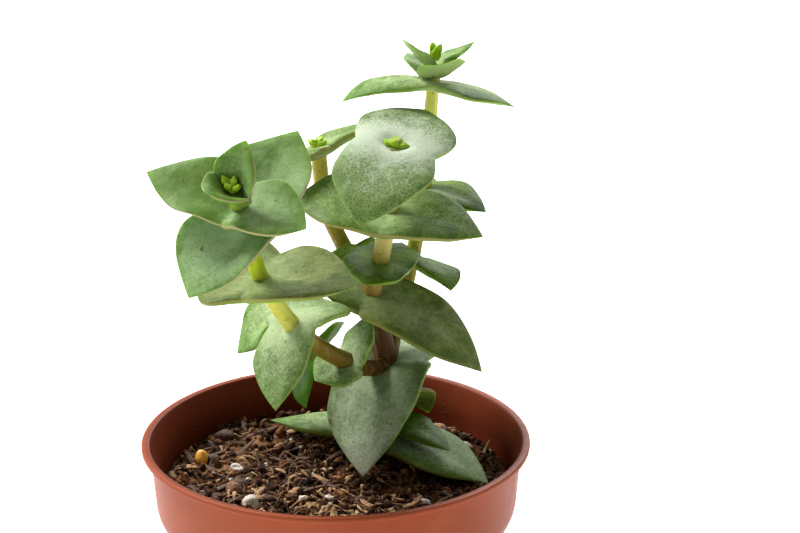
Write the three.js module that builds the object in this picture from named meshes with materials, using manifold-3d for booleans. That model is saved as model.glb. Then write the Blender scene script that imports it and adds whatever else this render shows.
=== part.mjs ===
// Potted string of buttons, Crassula perforata, in a 6 cm plastic nursery pot.
// Millimetres, +Z up, origin at the middle of the pot's underside, +Y away from the viewer.
// The plant is one branched stem with pairs of fleshy leaves threaded on it: the two leaves of
// a pair have grown together round the stem, and most pairs stand a quarter turn from the next.

import * as THREE from "three";
import { mergeVertices } from "three/addons/utils/BufferGeometryUtils.js";
import Module from "manifold-3d";

const wasm = await Module();
wasm.setup();

// Driving dimensions

const rimRadius = 30;
const potHeight = 52;
const baseRadius = 20;
const wall = 1.1;
const floorThickness = 1.6;
const soilLevel = 46.2;

// Clear space between a piece and its neighbour.
const gap = 0.3;

// Points round the pot, the soil, a stem and a leaf, and rings from a stem to a leaf's tip.
const potSides = 48;
const soilSides = 40;
const stemSides = 8;
const leafSides = 8;
const leafStations = 6;

const group = new THREE.Group();

function addPart(name, solid, color, roughness) {
  const mesh = solid.getMesh();
  const geometry = new THREE.BufferGeometry();
  geometry.setAttribute("position", new THREE.BufferAttribute(mesh.vertProperties, 3));
  geometry.setIndex(new THREE.BufferAttribute(mesh.triVerts, 1));
  geometry.computeVertexNormals();
  const material = new THREE.MeshStandardMaterial({ color, roughness, metalness: 0, flatShading: true });
  const part = new THREE.Mesh(geometry, material);
  part.name = name;
  group.add(part);
}

function toSolid(geometry) {
  geometry.deleteAttribute("normal");
  geometry.deleteAttribute("uv");
  const merged = mergeVertices(geometry, 1e-4);
  const vertProperties = new Float32Array(merged.attributes.position.array);
  const triVerts = new Uint32Array(merged.index.array);
  return new wasm.Manifold(new wasm.Mesh({ numProp: 3, vertProperties, triVerts }));
}

// A closed skin over a row of rings with the same number of points, drawn to a point at each end.
function loft(start, rings, end) {
  const sides = rings[0].length;
  const points = [start, ...rings.flat(), end];
  const last = points.length - 1;
  const at = (ring, side) => 1 + ring * sides + (side % sides);
  const faces = [];
  for (let side = 0; side < sides; side++) {
    faces.push(0, at(0, side + 1), at(0, side));
    faces.push(last, at(rings.length - 1, side), at(rings.length - 1, side + 1));
    for (let ring = 0; ring + 1 < rings.length; ring++) {
      faces.push(at(ring, side), at(ring, side + 1), at(ring + 1, side + 1));
      faces.push(at(ring, side), at(ring + 1, side + 1), at(ring + 1, side));
    }
  }
  const geometry = new THREE.BufferGeometry().setFromPoints(points);
  geometry.setIndex(faces);
  return toSolid(geometry);
}

function ring(sides, pointAt) {
  return Array.from({ length: sides }, (unused, side) => pointAt((2 * Math.PI * side) / sides));
}

// Pot: a thin tapered plastic cup, moulded in one piece, with a wider band below the rim, a
// narrow flat lip round the top and drain holes in its flat floor.

const lipWidth = 1.3;
const lipThickness = 0.8;
const bandFoot = potHeight - 12;
const bandTop = potHeight - lipThickness;
const bandRadius = rimRadius - lipWidth;
const bodyRadius = bandRadius - 2.1;
const mouthRadius = bandRadius - wall;
const rounding = 0.3;

const outside = [
  [0, 0],
  [baseRadius - 2 * rounding, 0],
  [baseRadius, 2 * rounding],
  [bodyRadius, bandFoot - 1.6],
  [bodyRadius + 0.5, bandFoot - 0.5],
  [bandRadius - 1, bandFoot + 0.5],
  [bandRadius - 0.7, bandFoot + 1.6],
  [bandRadius, bandTop - 0.2],
  [rimRadius - rounding, bandTop],
  [rimRadius, bandTop + rounding],
  [rimRadius, potHeight - rounding],
  [rimRadius - rounding, potHeight],
];
const inside = [
  [mouthRadius + 0.6, potHeight],
  [mouthRadius + 0.1, potHeight - 0.5],
  [mouthRadius - 0.7, bandFoot + 1.4],
  [bodyRadius - wall, bandFoot - 0.8],
  [baseRadius - wall - 0.4, floorThickness + 0.8],
  [baseRadius - wall - 1.2, floorThickness],
];

const drainHoles = 6;
const drainRadius = 2.4;
const drainCircle = 13;

function makePot() {
  const section = [...outside, ...inside, [0, floorThickness]];
  const profile = section.map(([radius, z]) => new THREE.Vector2(radius, z));
  let pot = toSolid(new THREE.LatheGeometry(profile, potSides).rotateX(Math.PI / 2));
  for (let i = 0; i < drainHoles; i++) {
    const angle = (2 * Math.PI * (i + 0.5)) / drainHoles;
    const hole = new THREE.CylinderGeometry(drainRadius, drainRadius, 4 * floorThickness, 16);
    hole.rotateX(Math.PI / 2);
    hole.translate(drainCircle * Math.cos(angle), drainCircle * Math.sin(angle), 0);
    pot = pot.subtract(toSolid(hole));
  }
  return pot;
}

// The radius of the pot's inner wall at a height above its floor.
function innerRadius(z) {
  const above = inside.findIndex(([radius, height]) => height <= z);
  const [upperRadius, upperZ] = inside[above - 1];
  const [lowerRadius, lowerZ] = inside[above];
  return THREE.MathUtils.mapLinear(z, lowerZ, upperZ, lowerRadius, upperRadius);
}

// Soil: dark peat that fills the pot to a little below the rim, heaped behind the stem and
// sunk along the wall, with lumps, grains of white perlite and chips of bark in its top.

function seeded(seed) {
  let state = seed;
  return () => {
    state = (state * 16807) % 2147483647;
    return state / 2147483647;
  };
}

function scattered(draw, farthest) {
  const angle = 2 * Math.PI * draw();
  const reach = farthest * Math.sqrt(draw());
  return { x: reach * Math.cos(angle), y: reach * Math.sin(angle) };
}

const lumpDraw = seeded(71);
const lumps = Array.from({ length: 60 }, () => {
  const place = scattered(lumpDraw, 26);
  return { ...place, spread: 1.8 + 1.6 * lumpDraw(), rise: 0.9 * (lumpDraw() - 0.35) };
});

function bump(x, y, place, spread) {
  return Math.exp(-((x - place.x) ** 2 + (y - place.y) ** 2) / spread ** 2);
}

const heap = { x: 4, y: 9, spread: 13.4, rise: 0.9 };
const sunkEdge = 1.1;

function soilHeight(x, y) {
  const edge = Math.hypot(x, y) / mouthRadius;
  const ground = soilLevel - 0.5 - sunkEdge * edge ** 8;
  return [heap, ...lumps].reduce((z, lump) => z + lump.rise * bump(x, y, lump, lump.spread), ground);
}

function soilRing(radius, z) {
  return ring(soilSides, (angle) => {
    const x = radius * Math.cos(angle);
    const y = radius * Math.sin(angle);
    return new THREE.Vector3(x, y, z ?? soilHeight(x, y));
  });
}

// The lowest pair of leaves lies along this slanting strip, which stays free of grains.
function underLeaf({ x, y }) {
  return x > -15 && Math.abs(y - 4 + 0.35 * x) < 11;
}

const grainCount = 34;
const grainDraw = seeded(23);
const grains = [];
while (grains.length < grainCount) {
  const place = scattered(grainDraw, 25);
  const grain = { ...place, size: 0.8 + 0.8 * grainDraw(), turn: 6 * grainDraw() };
  if (!underLeaf(grain)) grains.push(grain);
}

const soilRings = 11;

function makeSoil(stemRoom) {
  const wallHeights = [floorThickness, floorThickness + 0.8, bandFoot - 0.8, bandFoot + 1.4, soilLevel - 2];
  const side = wallHeights.map((z) => soilRing(innerRadius(z) - gap, z + gap));
  const edge = innerRadius(wallHeights.at(-1)) - gap;
  const top = Array.from({ length: soilRings }, (unused, i) => {
    return soilRing((edge * (soilRings - i)) / soilRings);
  });
  const bottom = new THREE.Vector3(0, 0, floorThickness + gap);
  const crest = new THREE.Vector3(0, 0, soilHeight(0, 0));
  let soil = loft(bottom, [...side, ...top], crest);
  for (const { x, y, size, turn } of grains) {
    const chip = new THREE.IcosahedronGeometry(size, 0).scale(1, 0.8, 0.7).rotateZ(turn);
    soil = soil.add(toSolid(chip.translate(x, y, soilHeight(x, y) + 0.1 * size)));
  }
  return soil.subtract(stemRoom);
}

// Plant: a trunk that stands in the soil and four side shoots that fork from it. Each shoot
// has its stem's radius at foot and tip, the points it grows through, its leaf pairs and a bud.
// A pair has its height, the turn of its first leaf round the stem from +X, the lean of its own
// axis off the stem's towards +X and +Y, its thickness, how far its sides dish upwards, and how
// much of its leaves' full width is left at the waist between them.
// A leaf has its length and width, then, in degrees, how steeply it leaves the stem, how far
// it droops by the tip, how it rolls about its midrib and how it sweeps to one side.

function leaf(length, width, rise, droop, roll, sweep) {
  return { length, width, rise, droop, roll, sweep };
}

const shoots = [
  {
    name: "centre",
    foot: 1.7,
    tip: 1.2,
    path: [
      [8.6, 6, 36], [8.5, 6, 50], [8.2, 5.5, 58], [7.4, 5, 65.6],
      [5.6, 4, 73.4], [6.7, 4, 78.4], [8.1, 4, 86.7], [9.2, 3, 97.6],
    ],
    pairs: [
      { height: 49.6, turn: -40, lean: [0, 0], thick: 3.1, dish: 0.06, waist: 0.8,
        leaves: [leaf(20, 12, -3, 10, -2, -3), leaf(20.5, 10.5, -1, 3, 0, 32)] },
      { height: 53, turn: -46, lean: [0.05, 0], thick: 2, dish: 0.02, waist: 0.8,
        leaves: [leaf(13.5, 7, 0, 13, -4, 0), leaf(9, 8, 10, 20, 0, 0)] },
      { height: 57, turn: 50, lean: [0, 0.1], thick: 2, dish: 0.1, waist: 0.8,
        leaves: [leaf(11.5, 8.5, -12, 58, -10, -2), leaf(7.5, 7, -34, 25, 0, 0)] },
      { height: 61.3, turn: -113, lean: [-0.05, 0.2], thick: 2.6, dish: 0.05, waist: 0.94,
        leaves: [leaf(19.3, 16.4, -31, 47, 12, -7), leaf(17, 12.3, 14, 34, 9, -6)] },
      { height: 73.6, turn: -19, lean: [0.09, -0.19], thick: 2.6, dish: 0.02, waist: 0.9,
        leaves: [leaf(21.5, 13.8, -10, 45, 0, 7), leaf(10.4, 11.8, 11, 17, 12, -13)] },
      { height: 78.7, turn: -107, lean: [0.03, 0.02], thick: 2.2, dish: 0.06, waist: 0.98,
        leaves: [leaf(8.9, 10, 0, 16, 2, 9), leaf(10.8, 9.9, 5, -5, -7, -1)] },
      { height: 86.9, turn: -18, lean: [-0.04, -0.3], thick: 2.6, dish: 0.05, waist: 0.94,
        leaves: [leaf(15.2, 13.7, 15, 34, -5, 3), leaf(16, 13.9, 12, 47, -7, -3)] },
      { height: 97.8, turn: -109, lean: [0, -0.18], thick: 2.5, dish: -0.04, waist: 0.8,
        leaves: [leaf(15.2, 15.5, -7, 52, 12, -4), leaf(15, 15.5, 2, 14, 1, 1)] },
    ],
    bud: { size: 1, turn: -20, room: 2.1 },
  },
  {
    name: "back",
    foot: 1.3,
    tip: 1.2,
    path: [[7.8, 5.5, 61], [3.8, 10, 72.5], [1.5, 14, 77.3], [-1.9, 15.5, 84.7], [-2.9, 16, 93.8]],
    pairs: [
      { height: 77.3, turn: 45, lean: [0, 0], thick: 1.8, dish: 0.08, waist: 0.8,
        leaves: [leaf(7, 7, 5, 10, 0, 0), leaf(7, 7, 5, 10, 0, 0)] },
      { height: 85, turn: -45, lean: [0, 0], thick: 1.8, dish: 0.08, waist: 0.8,
        leaves: [leaf(7, 7, 5, 10, 0, 0), leaf(7, 7, 5, 10, 0, 0)] },
      { height: 93.6, turn: 50, lean: [-0.2, 0], thick: 2, dish: 0.06, waist: 0.8,
        leaves: [leaf(15, 7, 8, 25, 3, 0), leaf(10, 7, 7, 12, 0, 0)] },
    ],
    bud: { size: 0.85, turn: -40, room: 1.7 },
  },
  {
    name: "right",
    foot: 1.4,
    tip: 1,
    path: [[8, 6, 62], [9, 10, 65.8], [11.7, 17, 74.8], [13.7, 19, 86.2], [15.3, 21, 106]],
    pairs: [
      { height: 75.4, turn: -54, lean: [0.18, 0], thick: 2.2, dish: 0.04, waist: 0.8,
        leaves: [leaf(12.1, 10.1, 6, 48, 11, 11), leaf(8.2, 8.2, 8, 22, 7, -3)] },
      { height: 86.2, turn: -34, lean: [-0.1, -0.15], thick: 2.2, dish: 0.1, waist: 0.8,
        leaves: [leaf(12, 9, 4, 24, 4, -2), leaf(12, 10, 8, 20, 0, 0)] },
      { height: 103.1, turn: 13, lean: [0.17, 0.07], thick: 1.8, dish: -0.05, waist: 0.8,
        leaves: [leaf(13.9, 11.2, 8, 24, 8, -12), leaf(15.3, 9.8, -3, 50, -8, -6)] },
      { height: 104.5, turn: -52, lean: [0.05, -0.12], thick: 1.1, dish: 0.16, waist: 0.8,
        leaves: [leaf(7, 8.6, 36, -8, 4, 0), leaf(7, 7.5, 16, 0, 3, 5)] },
      { height: 105.9, turn: 18, lean: [0.03, 0.05], thick: 1.1, dish: 0.13, waist: 0.8,
        leaves: [leaf(7.8, 5.2, 38, 2, 0, 0), leaf(7.2, 5.2, 35, 0, 0, 0)] },
    ],
    bud: { size: 0.85, turn: -72, room: 1.5 },
  },
  {
    name: "front",
    foot: 1.4,
    tip: 1.1,
    path: [
      [8, 5, 61.8], [3.3, 0, 63.6], [-4.8, -6, 71],
      [-10, -14, 82.3], [-11.7, -19, 92.1], [-12.8, -22.6, 97.6],
    ],
    pairs: [
      { height: 64.5, turn: 55, lean: [-0.02, -0.08], thick: 2, dish: 0.04, waist: 0.8,
        leaves: [leaf(8.2, 6.8, -6, -12, -4, 5), leaf(6.5, 8.9, 49, 0, -9, -3)] },
      { height: 73, turn: 72, lean: [-0.24, -0.1], thick: 2.3, dish: 0, waist: 0.82,
        leaves: [leaf(12.1, 13, -30, 58, 12, -9), leaf(13.7, 10.4, 12, 27, -1, 13)] },
      { height: 82.3, turn: -25, lean: [0.12, 0.32], thick: 2.5, dish: 0.1, waist: 0.8,
        leaves: [leaf(15.5, 15.5, 10, 20, -6, 1), leaf(12, 15.5, -1, 8, -8, -12)] },
      { height: 92.1, turn: 61, lean: [-0.22, -0.26], thick: 2.2, dish: 0.22, waist: 0.8,
        leaves: [leaf(16, 15.5, 12, 20, 3, 0), leaf(13.5, 14.5, 14, 19, 6, -10)] },
      { height: 95.3, turn: -33, lean: [-0.04, 0.05], thick: 2, dish: 0.2, waist: 0.8,
        leaves: [leaf(13, 10.5, 11, 2, -12, -7), leaf(15.3, 10, 15, 12, -6, 10)] },
      { height: 97.7, turn: 48, lean: [-0.16, -0.4], thick: 1.4, dish: 0.24, waist: 0.8,
        leaves: [leaf(8.8, 7.4, 52, 8, -3, 8), leaf(6.6, 7.4, 70, 10, 4, -6)] },
    ],
    bud: { size: 0.8, turn: -42, room: 1.5 },
  },
  {
    name: "low",
    foot: 1.3,
    tip: 1.1,
    path: [[8, 6, 55], [1.2, 9, 57.7], [-4.5, 12, 61.3], [-8.5, 15, 68.2], [-9.6, 15.5, 71]],
    pairs: [
      { height: 61.3, turn: 32, lean: [-0.25, -0.05], thick: 1.8, dish: 0, waist: 0.8,
        leaves: [leaf(9, 8, 0, 10, 0, 0), leaf(10.5, 8, -22, 33, -8, -2)] },
      { height: 68.2, turn: 10, lean: [-0.1, -0.4], thick: 2, dish: 0.15, waist: 0.8,
        leaves: [leaf(12, 10, 0, 20, 0, 0), leaf(11.5, 12, -4, 23, -10, -8)] },
    ],
    bud: { size: 0.8, turn: -80, room: 1.6 },
  },
];

for (const shoot of shoots) {
  const points = shoot.path.map((point) => new THREE.Vector3(...point));
  shoot.curve = new THREE.CatmullRomCurve3(points, false, "catmullrom", 0.5);
}

// Stem: every shoot's stem is a tapered round rod, and they are grown together at the forks.

const ringsPerSpan = 3;
const tipDome = 0.3;

// Two directions square to an axis: the first as near +X as the axis lets it be.
function squareTo(axis) {
  const first = new THREE.Vector3(1, 0, 0).addScaledVector(axis, -axis.x).normalize();
  return [first, new THREE.Vector3().crossVectors(axis, first)];
}

// A shoot's stem, or with some room added, the space that its neighbours leave round it.
function makeStem({ curve, path, foot, tip }, room) {
  const count = ringsPerSpan * (path.length - 1);
  const rings = Array.from({ length: count + 1 }, (unused, i) => {
    const share = i / count;
    const [first, second] = squareTo(curve.getTangent(share));
    const radius = foot + (tip - foot) * share + room;
    return ring(stemSides, (angle) => curve.getPoint(share)
      .addScaledVector(first, radius * Math.cos(angle))
      .addScaledVector(second, radius * Math.sin(angle)));
  });
  const start = curve.getPoint(0).addScaledVector(curve.getTangent(0), -room);
  const end = curve.getPoint(1).addScaledVector(curve.getTangent(1), tipDome + room);
  return loft(start, rings, end);
}

function joinStems(room) {
  return shoots.map((shoot) => makeStem(shoot, room)).reduce((joined, stem) => joined.add(stem));
}

// Leaf pairs: two broad pointed leaves, thick in the middle and rounder underneath, that meet
// round the stem at a waist and close up to a point at each end.

const radians = THREE.MathUtils.degToRad;
const belly = 0.38;
const topShare = 0.38;

// Half width along the leaf, as a share of the widest: nearly full where it meets its twin,
// full at the belly, then drawn in to the tip.
function widthShare(waist, s) {
  if (s < belly) return waist + (1 - waist) * Math.sin((Math.PI / 2) * (s / belly)) ** 0.8;
  return Math.max(0, Math.cos((Math.PI / 2) * ((s - belly) / (1 - belly)))) ** 0.96;
}

function slope(blade, s) {
  const bend = 0.12;
  return radians(blade.rise) * Math.min(1, s / bend) - radians(blade.droop) * s ** 1.3;
}

// How far out and up from the stem the midrib has come at a share s of the leaf's length.
function midrib(blade, s) {
  const steps = 40;
  const step = (blade.length * s) / steps;
  let out = 0;
  let up = 0;
  for (let i = 0; i < steps; i++) {
    const angle = slope(blade, (s * (i + 0.5)) / steps);
    out += step * Math.cos(angle);
    up += step * Math.sin(angle);
  }
  return [out, up];
}

// Two directions turned together by an angle in their own plane.
function turned(first, second, angle) {
  return [
    first.clone().multiplyScalar(Math.cos(angle)).addScaledVector(second, Math.sin(angle)),
    second.clone().multiplyScalar(Math.cos(angle)).addScaledVector(first, -Math.sin(angle)),
  ];
}

// The ring of a leaf's skin at a share s of its length. The second leaf has side -1.
function leafRing(pair, blade, side, s, sides) {
  const [east, north] = squareTo(pair.axis);
  const along = turned(east, north, radians(pair.turn))[0].multiplyScalar(side);
  const across = new THREE.Vector3().crossVectors(pair.axis, along);
  const [out, up] = midrib(blade, s);
  const drift = (blade.length * Math.tan(radians(blade.sweep)) * s * s) / 2;
  const centre = pair.point.clone()
    .addScaledVector(along, out)
    .addScaledVector(pair.axis, up)
    .addScaledVector(across, drift);
  const upward = turned(along, pair.axis, slope(blade, s))[1];
  const [wide, high] = turned(across, upward, radians(blade.roll) * Math.min(1, s / 0.6));
  const half = blade.width / 2;
  const reach = half * widthShare(pair.waist, s);
  const thick = pair.thick * (1 - 0.55 * s ** 1.5) * Math.min(1, (reach / half) * 1.6);
  const dish = pair.dish * blade.width * Math.sqrt(1 - s) * Math.sin(Math.PI * Math.min(1, 0.15 + s));
  return ring(sides, (angle) => {
    const sideways = reach * Math.sign(Math.cos(angle)) * Math.abs(Math.cos(angle)) ** 0.85;
    const share = Math.sin(angle) > 0 ? topShare : 1 - topShare;
    return centre.clone()
      .addScaledVector(wide, sideways * side)
      .addScaledVector(high, dish * (sideways / half) ** 2 + thick * share * Math.sin(angle));
  });
}

function makePair(pair, stations, sides) {
  const share = (i) => 1 - (1 - i / stations) ** 1.25;
  const halfRings = (blade, side) => Array.from(
    { length: stations + 1 },
    (unused, i) => leafRing(pair, blade, side, share(i), sides),
  );
  const first = halfRings(pair.leaves[0], 1);
  const second = halfRings(pair.leaves[1], -1);
  const middle = first[0].map((point, i) => point.clone().lerp(second[0][i], 0.5));
  const rings = [...second.slice(1, -1).reverse(), middle, ...first.slice(1, -1)];
  return loft(second.at(-1)[0], rings, first.at(-1)[0]);
}

// Where a stem passes a height, and which way it runs there. Every stem rises all the way.
function placeOnStem(curve, height) {
  let low = 0;
  let high = 1;
  for (let i = 0; i < 30; i++) {
    const middle = (low + high) / 2;
    if (curve.getPoint(middle).z < height) low = middle;
    else high = middle;
  }
  return [curve.getPoint(low), curve.getTangent(low)];
}

function pairOnStem(shoot, row) {
  const [point, direction] = placeOnStem(shoot.curve, row.height);
  const axis = direction.add(new THREE.Vector3(...row.lean, 0)).normalize();
  return { ...row, point, axis };
}

// The hole for the bud, through the last pair of a shoot.
function makeBudRoom({ point, axis }, radius) {
  const room = new THREE.CylinderGeometry(radius, radius, 12, 14);
  room.applyQuaternion(new THREE.Quaternion().setFromUnitVectors(new THREE.Vector3(0, 1, 0), axis));
  return toSolid(room.translate(...point));
}

// Buds: at each stem's tip the youngest leaves stand close together, in two small crossed
// pairs on a round heart.

function makeBud({ curve, bud }) {
  const { size, turn } = bud;
  const axis = curve.getTangent(1);
  const heart = 0.9 * size;
  const point = curve.getPoint(1).addScaledVector(axis, tipDome + gap + heart);
  const outer = leaf(3.4 * size, 1.9 * size, 52, -12, 0, 0);
  const inner = leaf(2.6 * size, 1.5 * size, 66, -10, 0, 0);
  const young = { axis, thick: 0.9 * size, dish: 0.1, waist: 0.8 };
  const lifted = point.clone().addScaledVector(axis, 0.3);
  return toSolid(new THREE.SphereGeometry(heart, 8, 4).translate(...point))
    .add(makePair({ ...young, point, turn, leaves: [outer, outer] }, 3, 6))
    .add(makePair({ ...young, point: lifted, turn: turn + 90, leaves: [inner, inner] }, 3, 6));
}

// The whole plant in its pot

const stemRoom = joinStems(gap);

addPart("pot", makePot(), 0xb8664a, 0.45);
addPart("soil", makeSoil(stemRoom), 0x4a3326, 0.95);
addPart("stem", joinStems(0), 0x9c7a3c, 0.6);

for (const shoot of shoots) {
  shoot.pairs.forEach((row, i) => {
    const pair = pairOnStem(shoot, row);
    let solid = makePair(pair, leafStations, leafSides).subtract(stemRoom);
    if (i === shoot.pairs.length - 1) solid = solid.subtract(makeBudRoom(pair, shoot.bud.room));
    addPart(`${shoot.name}_leaves_${i + 1}`, solid, 0x7f9f78, 0.5);
  });
  addPart(`${shoot.name}_bud`, makeBud(shoot), 0xa9bf4a, 0.5);
}

export default group;
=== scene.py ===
import math

import bpy
import numpy as np
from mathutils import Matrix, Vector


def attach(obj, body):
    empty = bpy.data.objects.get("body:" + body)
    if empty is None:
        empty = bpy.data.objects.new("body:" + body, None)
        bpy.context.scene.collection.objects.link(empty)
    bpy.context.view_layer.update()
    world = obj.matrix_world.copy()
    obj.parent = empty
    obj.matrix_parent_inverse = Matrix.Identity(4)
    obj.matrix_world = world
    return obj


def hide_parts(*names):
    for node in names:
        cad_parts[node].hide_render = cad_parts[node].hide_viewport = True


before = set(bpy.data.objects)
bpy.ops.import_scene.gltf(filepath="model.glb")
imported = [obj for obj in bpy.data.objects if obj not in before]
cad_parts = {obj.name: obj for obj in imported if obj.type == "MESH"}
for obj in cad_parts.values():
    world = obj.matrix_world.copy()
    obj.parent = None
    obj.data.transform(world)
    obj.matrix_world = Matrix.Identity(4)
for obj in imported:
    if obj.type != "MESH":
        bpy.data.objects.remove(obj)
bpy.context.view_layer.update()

# Potted string of buttons, in the frame's axes: +Z up, +Y away from the viewer, origin at the
# middle of the pot's underside. Lengths are in millimetres until a mesh or the camera takes
# them, and only the lamps are set in metres.

# The pot
# A thin tapered cup moulded in one piece from terracotta-coloured polypropylene, with a wider
# band under a narrow flat lip, and six drain holes through its flat floor.

MM = 0.001
# A blotch of noise is about this share of one of its cells.
BLOTCH_SHARE = 0.6


class Socket:
    """A value on its way through a material. Sums on it add Math nodes, node() any other."""

    def __init__(self, tree, source):
        self.tree = tree
        self.source = source

    def node(self, kind, settings, inputs, output):
        made = self.tree.nodes.new(kind)
        for name, setting in settings.items():
            setattr(made, name, setting)
        sockets = {socket.identifier: socket for socket in made.inputs}
        for name, value in inputs.items():
            if isinstance(value, Socket):
                self.tree.links.new(value.source, sockets[name])
            else:
                sockets[name].default_value = value
        outputs = {socket.identifier: socket for socket in made.outputs}
        return Socket(self.tree, outputs[output])

    def maths(self, operation, first, second=0.0):
        inputs = {"Value": first, "Value_001": second}
        return self.node("ShaderNodeMath", {"operation": operation}, inputs, "Value")

    def __add__(self, other):
        return self.maths("ADD", self, other)

    def __sub__(self, other):
        return self.maths("SUBTRACT", self, other)

    def __rsub__(self, other):
        return self.maths("SUBTRACT", other, self)

    def __mul__(self, other):
        return self.maths("MULTIPLY", self, other)

    def __abs__(self):
        return self.maths("ABSOLUTE", self)

    __radd__ = __add__
    __rmul__ = __mul__

    def between(self, low, high):
        """0 below low, 1 above high, and a smooth step from one to the other."""
        inputs = {"Value": self, "From Min": low, "From Max": high}
        return self.node("ShaderNodeMapRange", {"interpolation_type": "SMOOTHSTEP"}, inputs, "Result")

    def blend(self, without, full):
        """One colour where this value is 0 and another where it is 1."""
        inputs = {"Factor_Float": self, "A_Color": without, "B_Color": full}
        return self.node("ShaderNodeMix", {"data_type": "RGBA"}, inputs, "Result_Color")

    def grain(self, size, detail=2.0, distortion=0.0):
        """Noise whose blotches are about this many millimetres across."""
        scale = BLOTCH_SHARE / (size * MM)
        inputs = {"Vector": self, "Scale": scale, "Detail": detail, "Distortion": distortion}
        return self.node("ShaderNodeTexNoise", {}, inputs, "Fac")

    def mark(self, name, output="Fac"):
        """A value that the mesh carries on its points."""
        return self.node("ShaderNodeAttribute", {"attribute_name": name}, {}, output)


def colour(red, green, blue):
    """A shader's colour from the 0 to 255 values of a picture."""
    return tuple(((value / 255 + 0.055) / 1.055) ** 2.4 for value in (red, green, blue)) + (1.0,)


def start_material(name):
    """A new material, and the socket with the place on the piece that its nodes grow from."""
    material = bpy.data.materials.new(name)
    material.use_nodes = True
    where = material.node_tree.nodes.new("ShaderNodeTexCoord")
    return material, Socket(material.node_tree, where.outputs["Object"])


def finish_material(place, surface, relief=None, depth=0.0):
    """Sets the shader's sockets, and a bump whose highest points stand depth mm proud."""
    shader = place.tree.nodes["Principled BSDF"]
    if relief is not None:
        bump = {"Height": relief, "Distance": depth * MM, "Strength": 1.0}
        surface = {**surface, "Normal": place.node("ShaderNodeBump", {}, bump, "Normal")}
    for name, value in surface.items():
        if isinstance(value, Socket):
            place.tree.links.new(value.source, shader.inputs[name])
        else:
            shader.inputs[name].default_value = value


def make_piece(name, points, faces, material, marks=()):
    """A smooth mesh from points in mm, with the values that its material reads on the points."""
    mesh = bpy.data.meshes.new(name)
    mesh.from_pydata((np.asarray(points) * MM).tolist(), [], faces)
    for mark, values in dict(marks).items():
        in_colour = np.ndim(values) > 1
        layer = mesh.attributes.new(mark, "FLOAT_COLOR" if in_colour else "FLOAT", "POINT")
        layer.data.foreach_set("color" if in_colour else "value", np.ravel(values).astype(float))
    mesh.shade_smooth()
    mesh.materials.append(material)
    piece = bpy.data.objects.new(name, mesh)
    bpy.context.scene.collection.objects.link(piece)
    return piece


def set_in_place(piece, slot, *nodes):
    """The piece rides on the part's one body, in place of the nodes that it stands for."""
    if nodes:
        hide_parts(*nodes)
    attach(piece, "root")


def skin(rings, start, end):
    """Points and faces over a row of rings, drawn to a point at each end."""
    count, sides = rings.shape[:2]
    points = np.vstack([rings.reshape(-1, 3), [start, end]])
    this = np.arange(sides)
    after = (this + 1) % sides
    faces = []
    for row in range(count - 1):
        low = row * sides
        high = low + sides
        faces += np.stack([low + this, low + after, high + after, high + this], 1).tolist()
    top = (count - 1) * sides
    faces += np.stack([np.full(sides, count * sides), after, this], 1).tolist()
    faces += np.stack([np.full(sides, count * sides + 1), top + this, top + after], 1).tolist()
    return points, faces


def rounded(corners, steps=5):
    """A polyline whose corners, each with its own size of rounding, are turned into arcs."""
    line = []
    for i, (radius, z, size) in enumerate(corners):
        here = np.array([radius, z])
        before = np.array(corners[i - 1][:2]) if i > 0 else here
        beyond = np.array(corners[i + 1][:2]) if i + 1 < len(corners) else here
        if size == 0:
            line.append(here)
            continue
        enter = here + (before - here) * size / np.linalg.norm(before - here)
        leave = here + (beyond - here) * size / np.linalg.norm(beyond - here)
        for t in np.linspace(0, 1, steps):
            line.append(enter * (1 - t) ** 2 + here * 2 * t * (1 - t) + leave * t ** 2)
    return np.array(line)


def full_turn(sides):
    """Angles spaced evenly once round."""
    return np.linspace(0, 2 * math.pi, sides, endpoint=False)


def level_ring(radius, z, turn):
    """A level ring of points round the pot's middle line."""
    x = radius * np.cos(turn)
    y = radius * np.sin(turn)
    return np.stack([x, y, np.full_like(x, z)], 1)


class Bundle:
    """Several solids gathered into one mesh, each with its values for the material to read."""

    def __init__(self):
        self.points = []
        self.faces = []
        self.marks = {}
        self.count = 0

    def add(self, points, faces, **marks):
        self.faces += [[corner + self.count for corner in face] for face in faces]
        self.points.append(points)
        for mark, values in marks.items():
            on_points = values if np.ndim(values) else np.full(len(points), values)
            self.marks.setdefault(mark, []).append(on_points)
        self.count += len(points)

    def piece(self, name, material):
        marks = {mark: np.concatenate(values) for mark, values in self.marks.items()}
        return make_piece(name, np.vstack(self.points), self.faces, material, marks)


RIM_RADIUS = 30.0
POT_HEIGHT = 52.0
BASE_RADIUS = 20.0
BAND_FOOT = 40.0
BAND_RADIUS = 28.7
BODY_RADIUS = 26.6
MOUTH_RADIUS = 27.6
LIP_FLARE = 1.2
LIP_EDGE = 0.8
WALL = 1.1
FLOOR = 1.6
POT_SIDES = 220
OUT_OF_ROUND = 0.10
WAVINESS = 0.05

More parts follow.
